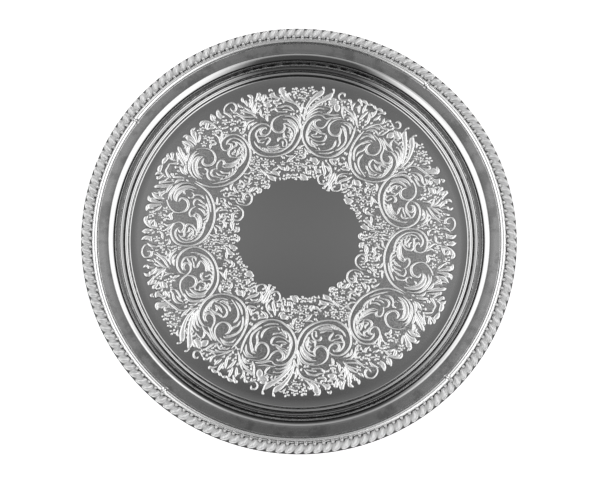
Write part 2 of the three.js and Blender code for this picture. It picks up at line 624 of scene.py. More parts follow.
def border_sections():
    section = border_section_line()
    unit = lobe_unit()
    tree = row_tree()
    steps_per_lobe = 3
    half_gap = SOLDER_GAP / 2 / PLATE_RADIUS
    for index, first in enumerate(JOINT_LOBES):
        last = (JOINT_LOBES[1:] + (JOINT_LOBES[0] + LOBE_COUNT,))[index]
        start, end = first * PITCH + half_gap, last * PITCH - half_gap
        steps = (last - first) * steps_per_lobe
        strip = swept_strip(f"strip_{index + 1}", section, start, end, steps, CAST_SILVER)
        add_solder(strip, start)
        add_modifier(
            strip,
            tree,
            {
                "Unit": unit,
                "Count": last - first,
                "Start": (first + 0.5) * PITCH,
                "Pitch": PITCH,
                "Material": CAST_SILVER,
            },
        )
        piece = bake(strip, f"border_strip_{index + 1}")
        keep(piece, "cast_border", f"border_section_{index + 1}")
    bpy.data.objects.remove(unit)


# ---------------------------------------------------------------- the chased ornament
#
# A stroke is (half width, form, points). Points are millimetres in one quarter of the well: x runs along
# the ornament's first mirror line and y along its second. The pattern is mirrored across both lines.


STROKE_WIDTH = {"even": 1.5, "leaf": 1.8, "club": 1.75}


def between(a, b, c, d, t):
    """The value at a share t of the way from b to c on a smooth curve through all four."""
    bend = (2 * a - 5 * b + 4 * c - d) * t * t
    return 0.5 * (2 * b + (c - a) * t + bend + (3 * b - a - 3 * c + d) * t**3)


def smooth_points(points, step):
    """Points about a step apart on a smooth curve through the given ones."""
    first = tuple(2 * a - b for a, b in zip(points[0], points[1]))
    last = tuple(2 * a - b for a, b in zip(points[-1], points[-2]))
    chain = [first, *points, last]
    result = []
    for p, q, r, s in zip(chain, chain[1:], chain[2:], chain[3:]):
        count = max(2, round(math.dist(q, r) / step))
        for i in range(count):
            t = i / count
            result.append(tuple(between(*values, t) for values in zip(p, q, r, s)))
    result.append(tuple(points[-1]))
    return result


def even(half, *points):
    return (half, "even", points)


def leaf(half, *points):
    return (half, "leaf", points)


def club(half, *points):
    return (half, "club", points)


def spiral(half, form, centre, start, end, radius, last_radius):
    """A stroke round a centre from one angle to another, in degrees, while its radius changes."""
    steps = max(4, int(abs(end - start) / 40) + 1)
    points = []
    for i in range(steps + 1):
        t = i / steps
        a = math.radians(start + (end - start) * t)
        r = radius + (last_radius - radius) * t
        points.append((centre[0] + r * math.cos(a), centre[1] + r * math.sin(a)))
    return (half, form, tuple(points))


def floret(x, y, radius, facing, petals=5):
    """Round petals about a small eye."""
    strokes = []
    for i in range(petals):
        a = math.radians(facing + 360 * i / petals)
        tip = (x + radius * math.cos(a), y + radius * math.sin(a))
        root = (x + 0.22 * radius * math.cos(a), y + 0.22 * radius * math.sin(a))
        strokes.append(club(0.3 * radius, root, tip))
    return strokes


def florets(*places):
    return [stroke for place in places for stroke in floret(*place)]


def fringe(side, length, gap, start, end, half, *points):
    """Short curved leaves that lean forward off one side of a line, as on an acanthus scroll."""
    line = smooth_points(points, 0.5)
    first, last = int(start * (len(line) - 1)), int(end * (len(line) - 1))
    strokes = []
    for i in range(first, last, max(1, round(gap / 0.5))):
        (x0, y0), (x1, y1) = line[max(0, i - 1)], line[min(len(line) - 1, i + 1)]
        way = math.atan2(y1 - y0, x1 - x0)
        share = math.sin(math.pi * (0.15 + 0.8 * (i - first) / max(1, last - first)))
        x, y = line[i]
        spine = [(x, y)]
        for bend, reach in ((0.4, 0.5), (0.85, 0.5)):
            turn = way + side * bend
            x, y = x + math.cos(turn) * reach * length * share, y + math.sin(turn) * reach * length * share
            spine.append((x, y))
        strokes.append(club(half, *spine))
    return strokes


FIRST_SCROLL = [
    even(0.62, (93.5, 3.6), (88, 2.2), (80, 1.6), (72, 2.9), (66, 6.2), (62.2, 11), (60.4, 16), (60.4, 21),
         (62, 27), (65.6, 32.4), (71, 36.2), (77, 37.4), (83, 36.4), (87.2, 33), (88.8, 29), (88, 25.6)),
    even(0.55, (64.7, 22.6), (65.2, 26.4), (67.6, 30.2), (71, 32.4), (75.6, 33.4), (80, 33.5), (83.6, 32),
         (85.3, 29.8), (84.8, 27.8)),
    club(0.8, (92.4, 20.4), (87.5, 22.9), (83.4, 23.3), (80, 25.3), (79, 28.4), (80.3, 31), (83, 31.6),
         (85, 29.6), (84.7, 28.2)),
    club(0.72, (94, 11.6), (92.8, 15.5), (90.6, 18.7), (87, 20.7), (83, 20.4), (80.2, 18.2), (79.3, 15),
         (80.4, 12.2), (83, 11), (85.8, 11.5), (87.2, 12.8)),
    club(0.62, (63, 20.6), (64.6, 17.4), (66.8, 13.8), (70, 11.2), (73.4, 10.4), (77.3, 11.3)),
    leaf(0.6, (62.6, 17.4), (64, 14), (66, 11.2), (68.9, 8.6)),
    leaf(0.5, (63.4, 9.6), (66, 6.9), (70, 4.6), (75, 3.4)),
    even(0.62, (69.6, 7.7), (73.5, 5.6), (78, 4.4), (82.2, 5.4), (86, 7.8), (88.7, 10.6), (88.8, 13)),
    leaf(0.55, (73, 7.6), (77, 7.8), (80, 9.8), (84.6, 11)),
    leaf(0.55, (82.6, 6.4), (86, 8.6), (87.6, 11.4)),
    leaf(0.5, (66.8, 25.4), (66.4, 22.8), (67.3, 20.9)),
    club(0.62, (67.9, 26.4), (67.7, 22), (69, 19), (71.2, 17.2)),
    club(0.62, (70, 29.6), (69.4, 25.4), (70.4, 21.4), (72.6, 18.9), (75.6, 18.7), (77.7, 19.7)),
    leaf(0.6, (72, 29.4), (72, 26.2), (73.3, 23.6), (74.6, 21.8)),
    club(0.62, (76.3, 32.6), (76, 29.6), (76.6, 26.6), (76.4, 23.4), (77.6, 20)),
    leaf(0.5, (72.7, 28.6), (74, 26.4), (76.4, 26.4)),
    leaf(0.5, (78, 33), (77.4, 30), (78, 26.6), (77.2, 23)),
    leaf(0.8, (88, 25.6), (89.6, 22.8), (92.6, 19.2), (94.2, 15.8)),
    leaf(0.6, (89.6, 30), (91.6, 26.6), (92.6, 23), (95.4, 18.6)),
    *fringe(-1, 6.5, 3.0, 0.0, 0.9, 0.45, (64.6, 17.4), (64.7, 22.6), (67.6, 30.2), (75.6, 33.4), (83.6, 32)),
    leaf(0.6, (91.2, 12.2), (91.4, 8.6), (89.6, 5.8), (86, 4.2)),
    leaf(0.5, (90.6, 14.8), (93, 10), (92.6, 6.8), (90.4, 3.6)),
]

SECOND_SCROLL = [
    even(0.62, (77.6, 41.6), (73.2, 37.8), (68, 35.6), (62, 34.9), (56.4, 35.7), (51, 38.4), (46.4, 42.6),
         (43, 47.4), (41, 52.4), (40.8, 57.6), (42, 62), (45.2, 66), (49.6, 68.7), (54, 69.3), (58.2, 68.2),
         (61.6, 65.6), (63.2, 62), (62.8, 58.4)),
    even(0.55, (66.4, 39.2), (62, 38.8), (58.4, 39), (54.4, 40.4), (50, 43), (46.8, 46.6), (45, 50.6),
         (44.7, 55), (45.6, 60), (47.6, 63.4)),
    club(0.78, (64.8, 58.8), (62, 57.3), (59, 56.8), (56.1, 58), (54.8, 60.4), (55.8, 62.6), (58.4, 63),
         (60.5, 61.4), (59.8, 59.6)),
    even(0.55, (50.2, 62), (52.2, 64.6), (55.4, 65.2), (58.8, 64), (60.7, 61.6)),
    club(0.72, (78, 47.6), (76.8, 52), (74.4, 55.8), (71, 58.3), (67.5, 59), (64, 57.7), (61.8, 54.8),
         (61.8, 51.4), (63.6, 49.2), (66.6, 48.5), (69, 49.8), (69.9, 51.4)),
    leaf(0.6, (51.4, 63.6), (50, 61.6), (48.8, 60), (49.4, 57.6), (51, 56.8)),
    club(0.6, (49, 60.4), (51.2, 59.6), (53, 57.4), (55.2, 55.8), (54.5, 53.9), (51.6, 54), (49, 54.4)),
    leaf(0.5, (51.4, 64), (52.8, 62), (53.8, 59.6), (55, 57.6)),
    club(0.6, (48.8, 54.2), (49.8, 50.6), (51.8, 47.9), (54.2, 46.2)),
    leaf(0.6, (46.6, 55), (47.2, 50.4), (49.6, 46.6), (52.6, 44.2)),
    leaf(0.55, (48, 53), (48.6, 50), (50.6, 47), (53, 45)),
    club(0.6, (54.4, 43.4), (56.6, 44.4), (58, 45.4)),
    club(0.66, (54.6, 40.9), (58.2, 42), (59.9, 44.6), (59.4, 47.4), (57.6, 48.6), (55.4, 48)),
    leaf(0.55, (59.6, 45), (62, 46.6), (64.6, 47.6)),
    spiral(0.5, "even", (63.7, 44), 130, 400, 2.0, 2.2),
    club(0.5, (63.2, 42.6), (63.7, 44.4)),
    leaf(0.55, (65.4, 44.8), (68, 44.6), (68.9, 46.8), (67.4, 48.4)),
    leaf(0.6, (60, 40.9), (63, 41), (66, 41.6), (68.6, 44)),
    leaf(0.9, (70.4, 51), (71.2, 47), (70.8, 43), (68.6, 40.2), (65, 39)),
    leaf(0.8, (72.6, 53), (74.4, 49), (74, 45), (72, 41), (69, 38.4)),
    leaf(0.8, (75.2, 52.8), (77.6, 48.6), (77.4, 44.6), (75.4, 41.2), (72, 38.4)),
    *fringe(-1, 6, 3.0, 0.0, 0.95, 0.45, (66.4, 39.2), (58.4, 39), (50, 43), (45, 50.6), (45.6, 60)),
    leaf(0.6, (73.4, 50), (73, 46), (71.6, 42.6)),
]

THIRD_SCROLL = [
    even(0.62, (0.7, 86), (1, 79), (2.8, 73), (6.6, 67.6), (11, 63.9), (15.4, 61.2), (20.4, 59.4), (26, 58.6),
         (31, 58.8), (36, 60.1), (40.6, 63), (43.8, 67), (45.8, 71.6), (46, 76), (44.4, 80), (41, 83.2),
         (36.8, 84.2)),
    leaf(0.55, (4.6, 74.6), (7.4, 71.2), (10.6, 67.8), (14.4, 65)),
    even(0.58, (22, 65.7), (26.8, 63.8), (31.6, 63), (36, 64), (40, 66.5), (42.8, 70.5), (43.4, 75),
         (41.6, 78.8), (38.6, 80.4), (35.4, 80.1)),
    even(0.55, (9.8, 71), (13.6, 67.6), (18, 65), (22.6, 64.2)),
    club(0.78, (38.6, 84.4), (34.4, 84), (31.6, 81.4), (31.2, 78.4), (33, 76.4), (36, 76), (37.6, 77.4),
         (36.4, 79.4)),
    club(0.8, (21.6, 97.6), (24.6, 94.2), (26.4, 90), (26.2, 86.2), (23.8, 82.8), (20.4, 81.3), (17, 82.2),
         (14.8, 84.8), (14.8, 87.6), (16.2, 89.2), (18.8, 89.3)),
    leaf(1.1, (19.4, 90.6), (17, 93.6), (12.4, 94), (8, 91.6), (5, 87.6), (4.2, 83)),
    leaf(0.6, (19, 90.8), (16, 92.2), (12.4, 91.8), (9, 90), (6.6, 87), (6.4, 83.6)),
    leaf(0.6, (20.4, 94.4), (17, 96.6), (12, 96.4), (7, 95), (3.6, 91), (2.2, 86)),
    leaf(0.55, (21, 96.8), (16, 98), (9.6, 97), (5, 94.6)),
    club(0.55, (7.4, 88.4), (8.8, 89.6), (10.8, 89.4), (11.6, 87.6)),
    spiral(0.6, "club", (10, 84), 160, 395, 1.9, 2.5),
    leaf(0.6, (8, 74), (6.9, 77), (8, 80.2), (10.6, 82.2)),
    leaf(0.6, (11.4, 70.4), (10.8, 74), (10.2, 77), (11.2, 79.2), (14, 79.6), (16, 78)),
    leaf(0.6, (14.2, 69.4), (13, 72.6), (13.4, 76.4)),
    leaf(0.7, (18, 67.4), (16, 71), (16, 74.6)),
    club(0.7, (15.8, 77), (18.8, 78.5), (22, 78.5), (23.8, 76.6), (22.8, 74.6), (20.4, 74.6)),
    leaf(0.6, (19.8, 74.8), (20.2, 71.6), (22.6, 68.6), (27, 66.4), (33, 65.9)),
    leaf(0.6, (22.4, 74), (24, 70.6), (27.4, 68.2), (31, 66.9)),
    leaf(0.55, (21, 73), (22.6, 69.8), (25.6, 67.6), (29, 66.6)),
    club(0.66, (36, 65.8), (32, 67), (29.9, 70), (29.2, 73), (30.4, 75.4), (33.4, 75.8)),
    club(0.6, (38.8, 68.2), (34, 68.4), (31.8, 70.6), (31.6, 72.8), (34, 72), (36, 73)),
    leaf(0.6, (33, 75.4), (36, 74.8), (38.6, 73.4), (40.4, 75), (39.8, 77.4)),
    leaf(0.6, (31, 69.2), (35, 69.9), (38.7, 70.5)),
    *fringe(1, 6.5, 3.0, 0.0, 0.95, 0.45, (9.8, 71), (13.6, 67.6), (22.6, 64.2), (31.6, 63), (42.8, 70.5),
            (43.4, 75)),
    leaf(0.6, (36.6, 66.6), (39.4, 68.6), (41, 72), (40.9, 75.4)),
]

OUTER_FLOWERS = [
    # tongues, leaves and the ring curl beside the first mirror line
    club(1.5, (82, 40.4), (88, 41.8), (94, 41.6), (100, 40), (104, 37.8), (107, 37.2)),
    club(0.7, (105, 36.4), (107.6, 37.6), (109, 39.6)),
    club(1.5, (84, 40), (90, 38.6), (96, 36.4), (101, 33.4), (105, 31), (108.4, 30.4)),
    club(0.7, (107.6, 29.6), (110, 30.4), (111.4, 32)),
    leaf(0.6, (82, 38.8), (88, 37.4), (92, 34.8), (94, 31.6)),
    leaf(0.6, (85, 38.6), (90, 37.8), (94, 36), (96.2, 32.8)),
    leaf(0.55, (80, 38.6), (86, 36.6), (90, 33.4), (91.2, 30)),
    club(0.6, (95.6, 33), (98.4, 33.4), (99.8, 31.4)),
    club(0.65, (96, 31.4), (97, 28.6), (97.4, 25.7), (94.6, 25.3), (91.6, 26.8)),
    club(0.8, (93.6, 31.6), (94, 30)),
    leaf(1.5, (101.4, 30.2), (101, 27), (103, 22.6)),
    leaf(1.7, (96.6, 20.8), (99.4, 22.2), (102.6, 24)),
    leaf(1.0, (99.8, 27.6), (102.6, 26), (104.6, 23)),
    leaf(1.0, (102, 30), (103.8, 28), (104.6, 25)),
    club(0.9, (106, 14), (108.6, 15.4), (109.4, 18)),
    club(0.62, (109.2, 15.6), (108.2, 19), (106.4, 21.6), (106.6, 24), (108.6, 25.5), (111, 24.5),
         (111.5, 22.2), (109.6, 21.2)),
    leaf(0.62, (94.4, 13.6), (97, 16.4), (99.6, 17.8), (102.6, 18.8), (102.4, 15), (103.2, 11)),
    leaf(0.7, (103, 11), (105.6, 12.8), (109.4, 12.2)),
    club(0.62, (97, 6), (98.8, 8.4), (99.8, 11), (99.6, 13.6)),
    leaf(0.6, (103.2, 10.8), (101, 8), (98.4, 5.6), (95.4, 3.6), (93, 1)),
    leaf(0.6, (95.6, 14.4), (97.6, 10.6), (96, 7), (93.6, 5)),
    leaf(0.6, (101.6, 17.6), (101.2, 13), (99.8, 9.4), (97.2, 6)),
    club(1.1, (109.6, 6.6), (112, 9), (113, 11.8)),
    leaf(0.9, (112.6, 9.4), (113.6, 6.4), (112.4, 3.4)),
    leaf(0.8, (103.4, 6), (106.6, 7.6), (109.8, 8.6)),
    leaf(0.8, (104.6, 3.6), (108.6, 4.2), (112.6, 4.4)),
    leaf(0.8, (99, 3.2), (104, 2.2), (108, 0.6)),
    leaf(0.8, (112, 3.6), (113.6, 1.6), (113.8, 0)),
    # buds, hook and florets above the tongues
    leaf(0.7, (82.4, 43), (86.2, 46.6), (87.6, 50.4), (87.1, 54.4), (86.2, 60), (85.2, 66)),
    club(2.0, (88, 56.6), (88.6, 60.4), (91.4, 63.2), (93.4, 63.4)),
    leaf(1.0, (88.6, 64.4), (92, 65.4), (94.8, 63.2)),
    club(1.8, (84.8, 64.6), (85, 68), (86.2, 70.6)),
    leaf(0.8, (86, 72.2), (87.8, 72.4), (88, 70)),
    club(0.7, (86.4, 48), (88.2, 53), (89.3, 57), (91.2, 59.3), (93.2, 58.2)),
    *florets((96.4, 55.6, 3.1, 75), (99.4, 50.4, 2.7, 20), (103.2, 45.8, 2.6, 0, 4), (94, 50.6, 2.4, 30),
             (93.6, 46.6, 2.2, 0), (98, 46.6, 2.2, 50)),
    leaf(0.7, (83, 43.4), (88, 45.4), (91.4, 46)),
    leaf(0.6, (100, 43.4), (103, 42.6), (104, 40)),
    even(0.6, (79.4, 53), (77.4, 55.8), (76, 59.2), (77.6, 62.6)),
    leaf(0.7, (77.6, 62.6), (79.6, 59.4), (82.4, 56.8), (83.4, 53), (82, 48.4)),
    leaf(0.8, (80.4, 65.6), (80.8, 63.2), (83, 59.8)),
    leaf(0.8, (79.8, 65.2), (82.4, 65), (83, 62.6)),
    leaf(0.6, (79, 56.8), (80.4, 54), (81.4, 50)),
    leaf(0.7, (80.6, 46), (79.2, 42.6), (76.6, 40.6)),
    leaf(0.7, (82.8, 44.6), (82, 41), (79, 38.6)),
    # pointed leaves and the ring curl between the second and third scrolls
    leaf(1.4, (75.4, 70.6), (77, 67.4), (77.8, 65)),
    leaf(0.9, (74.6, 70), (77.4, 70.4), (79.4, 67.4)),
    *floret(70.4, 65.4, 3.0, 60),
    leaf(0.8, (65.6, 61.8), (67.4, 63.8), (70, 64.4)),
    leaf(0.7, (66.6, 66), (68, 69), (71.8, 71.6)),
    club(1.2, (76.4, 72.4), (80, 73), (83.2, 74.2)),
    club(1.3, (74.6, 77.4), (78.6, 77.6), (82.4, 78)),
    leaf(1.2, (76.4, 74.6), (79, 75.8), (80.6, 78)),
    club(1.2, (68.4, 79), (72.8, 79.8), (75.4, 82)),
    leaf(1.0, (74.4, 80), (76.4, 82), (76.2, 85)),
    club(1.1, (68.8, 80.6), (70.4, 83), (71.4, 85.2)),
    leaf(0.8, (69.6, 85.4), (71.4, 86.6), (73, 87.6)),
    leaf(0.8, (66, 82.8), (66, 85.6), (67, 88)),
    leaf(0.7, (66.4, 74), (70, 77.6), (74, 78.8)),
    leaf(0.7, (66.4, 73.4), (70.8, 75.6), (75.2, 76.4)),
    leaf(0.6, (65.6, 73), (69.6, 73.2), (72.6, 72.2)),
    leaf(0.7, (65.6, 74), (66.6, 78.6), (66.6, 82.4)),
    leaf(0.7, (64.8, 70.4), (63.2, 73.6), (61, 77.6), (60.2, 82), (60.6, 86)),
    leaf(0.7, (64, 70), (65.4, 74.6), (64.4, 80), (64, 84)),
    *floret(63.4, 81.6, 2.5, 10),
    club(0.66, (58, 88), (57, 91), (57.2, 94), (60.4, 95), (64, 93.8), (65.8, 90.6), (64.4, 87.8), (61.8, 87),
         (60.2, 88.6), (61.4, 91.2)),
    leaf(0.6, (58.6, 85), (59.4, 81), (58.8, 77.4), (60.6, 73.6)),
    leaf(0.6, (50.6, 73), (54, 74.4), (58.6, 74.2), (62, 71.4)),
    leaf(0.6, (53, 71.4), (56.6, 72.4), (60.6, 70.6)),
    leaf(0.55, (56.6, 70.6), (59.4, 70.4), (61.4, 68.6)),
    club(0.66, (52.4, 79), (53, 76.6), (55.4, 75.9), (58.6, 76.8)),
    club(0.8, (54.6, 79), (57.4, 77.6)),
    *floret(52.6, 84.4, 3.0, 40),
    leaf(0.7, (45.6, 81.6), (48.4, 80), (51, 81.2)),
    leaf(1.1, (53.6, 91.6), (52.4, 94.6), (54.8, 97)),
    leaf(1.1, (50.6, 93), (52.8, 96.6), (56, 98.8)),
    leaf(0.8, (55, 86), (56.4, 90), (56, 94)),
    leaf(1.0, (47.2, 95.6), (47.6, 98.6), (50.8, 101.4)),
    leaf(0.8, (48.4, 96.6), (49.8, 98.6), (50.2, 101)),
    *florets((50.2, 89.4, 2.6, 0), (43.6, 90.4, 2.8, 25)),
    # sprays beside the second mirror line
    club(1.3, (43.4, 93), (44.4, 97), (43.6, 101), (40.6, 103.4)),
    leaf(1.0, (38.6, 97.8), (40.8, 99.6), (44.4, 99.6)),
    leaf(1.0, (38.4, 103.6), (41.4, 104), (44.8, 101.4)),
    leaf(0.8, (39, 97.6), (41, 96), (43, 93.6)),
    *floret(35.4, 101.6, 2.7, 30),
    leaf(0.7, (27, 98.6), (30.4, 99.6), (33.4, 101)),
    club(1.6, (26.4, 99.4), (29, 102.6), (31.2, 105.4), (33.8, 106.2)),
    leaf(0.8, (30, 106.4), (32.6, 107.4), (35.8, 106.4)),
    club(1.5, (24.8, 99.4), (26.2, 103), (26.8, 106.6), (25.8, 109)),
    leaf(0.8, (28.2, 106), (27.4, 109), (25, 110.6)),
    leaf(1.1, (22.4, 100), (23.2, 105.4), (22, 109.8)),
    club(0.8, (21.8, 99.4), (20.8, 103.6), (18, 105.6)),
    leaf(0.6, (21.2, 109), (20.4, 105.6), (16, 102)),
    club(0.9, (15.8, 100.8), (19.4, 102.6), (22, 104)),
    club(1.1, (8.4, 98.4), (13, 104.6), (17.6, 110.4)),
    leaf(0.6, (9.6, 99.6), (13.6, 103), (16.4, 107.2)),
    leaf(0.7, (7, 99.6), (10.8, 105.4), (13.8, 108.8)),
    club(1.0, (6.6, 104.8), (10.4, 106.6), (13.6, 108.8)),
    leaf(0.8, (10.2, 99.2), (14, 100.6), (17, 100.4)),
    club(1.2, (6, 109), (9, 110.4), (11.4, 112.2)),
    leaf(1.0, (6.2, 110), (7, 113), (9.4, 114.2)),
    leaf(1.2, (0, 113.6), (3.4, 113.8), (7, 112.4)),
    club(0.9, (0, 109.2), (2.6, 109.2), (4.4, 107), (6.4, 103.4)),
    club(1.0, (4.4, 100), (3.4, 103), (2.2, 104.8)),
    leaf(0.9, (1.4, 94.4), (2.4, 98), (5, 102)),
    leaf(0.8, (2.6, 94), (5, 97.4), (8.4, 98.6)),
    *florets((28, 94.6, 2.5, 30), (33, 96.2, 1.9, 20), (33.4, 92, 3.0, 60), (39.4, 91.6, 2.7, 10)),
    leaf(0.7, (29, 89.6), (32.6, 87.4), (33.6, 89)),
    leaf(0.8, (27, 89), (30.2, 89.8), (32.8, 87.4)),
    leaf(0.8, (34, 84.4), (37.4, 86.6), (38.2, 90)),
    leaf(0.8, (36, 84.8), (40, 86.2), (43, 88)),
    *floret(42.6, 84.4, 2.4, 0),
    leaf(0.7, (44, 88.4), (46.6, 87), (48.4, 85.4)),
]

INNER_FLOWERS = [
    # curl, florets and leaves beside the second mirror line
    club(0.75, (2, 53.5), (0.9, 51), (1.2, 48.6), (2.4, 45.2), (6, 43.3), (10, 44.6), (11.2, 47.8), (9.4, 50),
         (6.8, 49.8), (5.6, 47)),
    leaf(0.8, (10.6, 60), (8.2, 57.4), (7.6, 54.4)),
    leaf(0.7, (1.2, 58), (2, 56.4), (2.6, 54.2)),
    leaf(0.7, (3, 60), (4.4, 57.2), (5, 54)),
    club(0.6, (6.4, 66), (7.2, 63.6), (5, 62.4)),
    spiral(0.55, "even", (3, 61.8), 100, 330, 2.0, 2.0),
    leaf(0.6, (2, 66.6), (4.6, 65.2), (7.2, 63.8)),
    leaf(0.6, (7, 60.6), (9.6, 61.8), (12.6, 61.6)),
    club(0.7, (12.4, 59), (15, 57.2), (17.6, 58.2)),
    leaf(0.7, (11.4, 57.6), (13.6, 56), (12.8, 53.4)),
    leaf(0.7, (12.6, 53.2), (15.6, 53.6), (17.2, 51.2), (19.4, 49.8)),
    club(0.7, (17.8, 53.4), (18.6, 55.8)),
    spiral(0.6, "even", (19, 54.6), 130, 350, 2.7, 2.9),
    leaf(0.7, (11, 47.4), (14, 48), (17.4, 47)),
    club(1.2, (17.8, 45), (17, 42.6), (14.6, 41.4)),
    leaf(1.0, (14, 42), (17, 41.4), (19, 43)),
    leaf(0.9, (13, 46.6), (16, 46.2), (18.6, 44.2)),
    *floret(22.6, 40.8, 3.2, 90),
    leaf(0.8, (19.8, 40), (21.6, 37.8), (24.6, 37.6)),
    *florets((25.6, 44.2, 2.3, 40), (20.2, 46.4, 2.1, 0), (25, 48.4, 2.6, 15), (22, 52.2, 2.2, 30),
             (27, 53.2, 2.4, 0)),
    leaf(0.6, (22.4, 58), (24, 55.4), (26.2, 54.6)),
    leaf(0.6, (21.2, 57.4), (20.8, 54.6), (22.2, 52)),
    leaf(0.6, (29.2, 58), (28.6, 55), (29.4, 51.6)),
    *florets((32.6, 57, 2.3, 30), (36, 57.4, 1.9, 0), (32, 52.4, 2.6, 50), (35.8, 53.2, 2.0, 10),
             (28.8, 47.4, 2.1, 35)),
    leaf(0.6, (31.4, 49.6), (30.4, 46), (28.4, 43)),
    # between the curls, along the edge of the plain centre
    leaf(1.3, (28.8, 42), (29.4, 38.4), (28.4, 35)),
    leaf(0.7, (30.4, 44.4), (29.6, 41), (28.6, 37)),
    leaf(1.2, (32.8, 42), (34, 38), (33.4, 34.6)),
    leaf(0.6, (31.4, 44.4), (32.2, 40.6), (33.6, 37)),
    *florets((32.4, 44.2, 2.1, 20), (35.4, 46.6, 2.6, 0), (38.6, 48.8, 2.3, 40), (39.8, 43.6, 2.5, 15)),
    leaf(0.7, (34, 41), (36.6, 39.6), (39.2, 38)),
    club(1.2, (40, 39.6), (39.4, 35.6), (40.4, 33)),
    leaf(1.0, (38.6, 33.8), (40.6, 31.8), (43.4, 33.4)),
    *floret(43, 37, 2.0, 30),
    club(1.0, (47.4, 40.6), (46.6, 37.4)),
    leaf(0.7, (49.4, 38.4), (49.8, 35.8), (51.8, 32.8)),
    leaf(0.8, (44.8, 34.8), (49, 33.6), (52.6, 31.4)),
    *florets((46.6, 31.4, 2.3, 15), (36.8, 28, 2.2, 50), (38.6, 24, 2.9, 0), (42.8, 28.6, 2.4, 30),
             (47.2, 27, 2.5, 0), (44.4, 24.4, 1.9, 60), (51.4, 29, 2.2, 20), (54.8, 32, 2.0, 0),
             (58.6, 30.6, 2.2, 40)),
    leaf(0.7, (57, 33), (60.4, 31.8), (62.6, 30)),
    *floret(55.6, 28.4, 2.3, 10),
    leaf(0.7, (52, 26.6), (55, 25.4), (58, 26.6)),
    club(0.9, (58.4, 27), (57.6, 24)),
    leaf(0.7, (60.6, 28.6), (59.4, 25.6), (59.6, 22.4)),
    leaf(1.5, (42.4, 21.8), (41.2, 18.8), (40.6, 14.8)),
    leaf(0.8, (40, 21.6), (39.2, 18.6), (40, 16)),
    club(1.1, (47.6, 20.6), (45.6, 18.2), (45, 15.6)),
    leaf(0.9, (45, 15), (46.4, 16.6), (48.6, 16.4)),
    *florets((49.4, 21.4, 2.5, 15), (53, 21.8, 2.2, 40), (48.6, 24, 1.9, 0)),
    leaf(1.4, (54.4, 20.6), (56.4, 18), (55.8, 14.8)),
    leaf(0.9, (54, 18), (54.2, 15.6), (57.6, 14.4)),
    leaf(0.8, (50.4, 19.6), (51.6, 17), (50.4, 14.6)),
    club(1.4, (53, 14.6), (50.6, 14), (50.2, 11.4), (51.8, 9.8)),
    # curl and leaves beside the first mirror line
    leaf(0.9, (58.4, 12.2), (55, 9.8), (51.6, 6.8), (48.8, 6)),
    club(0.72, (59, 8.6), (57.4, 5.4), (54.6, 3), (51, 2.8), (48.6, 4)),
    club(0.75, (50.4, 5.4), (49.4, 8), (46.4, 9.4), (43.6, 7.8), (42.6, 5), (44.6, 2), (48, 0.8)),
    club(1.1, (49.6, 3.8), (47.4, 5)),
    leaf(0.7, (56, 9.6), (56, 6.4), (53.4, 4.2)),
    leaf(0.8, (60, 1.6), (60.4, 5), (62.2, 7.6), (64, 5)),
    leaf(0.8, (62, 7.4), (64, 4.6), (66.6, 2.6)),
    leaf(0.7, (40.4, 1.4), (42.6, 1.6), (45, 0.4)),
    leaf(0.9, (55, 0.6), (50, 0.9), (44, 0.3)),
    club(0.9, (40.6, 0.6), (41, 3)),
]


# (x, y, radius) of the three round scrolls, which the filling leaves keep out of
SCROLL_ROUNDS = ((75.5, 20, 18.5), (58.5, 51.5, 19.5), (23, 79.5, 23.5))


def filling_leaves(strokes, inner, outer, gap, seed):
    """Small leaves that fill the bare places of the flower bands, outside the round scrolls."""
    clear = 1.25
    taken = [point for _, _, points in strokes for point in smooth_points(points, 0.7)]
    tree = kdtree.KDTree(len(taken))
    for index, (x, y) in enumerate(taken):
        tree.insert((x, y, 0), index)
    tree.balance()
    chance = random.Random(seed)
    leaves = []
    rows = int((outer - inner) / gap)
    for row in range(rows):
        radius = inner + row * gap
        count = int(radius * math.pi / 2 / gap)
        for k in range(count):
            turn = (k + 0.5 * (row % 2) + chance.uniform(-0.2, 0.2)) / count * math.pi / 2
            out = radius + chance.uniform(-0.25, 0.25) * gap
            lean = turn + chance.uniform(-0.9, 0.9)
            x, y = out * math.cos(turn), out * math.sin(turn)
            in_scroll = any(math.hypot(x - a, y - b) < r for a, b, r in SCROLL_ROUNDS)
            if in_scroll or min(x, y) < 0.8 or tree.find((x, y, 0))[2] < clear:
                continue
            tip = (x + 1.2 * math.cos(lean), y + 1.2 * math.sin(lean))
            root = (x - 1.1 * math.cos(lean), y - 1.1 * math.sin(lean))
            bend = (x + 0.3 * math.sin(lean), y - 0.3 * math.cos(lean))
            leaves.append(club(0.7, root, bend, tip))
    return leaves


def width_share(form, t):
    """How wide a stroke is at a share t of its length."""
    if form == "even":
        return min(1, 0.35 + t / 0.08, 0.35 + (1 - t) / 0.08)
    if form == "leaf":
        return 0.22 + 0.78 * math.sin(math.pi * t) ** 0.7
    head = math.sqrt(max(0.0, 1 - max(0.0, (t - 0.8) / 0.2) ** 2))
    return max(0.12, (0.42 + 0.58 * min(1, t / 0.8) ** 1.6) * head)


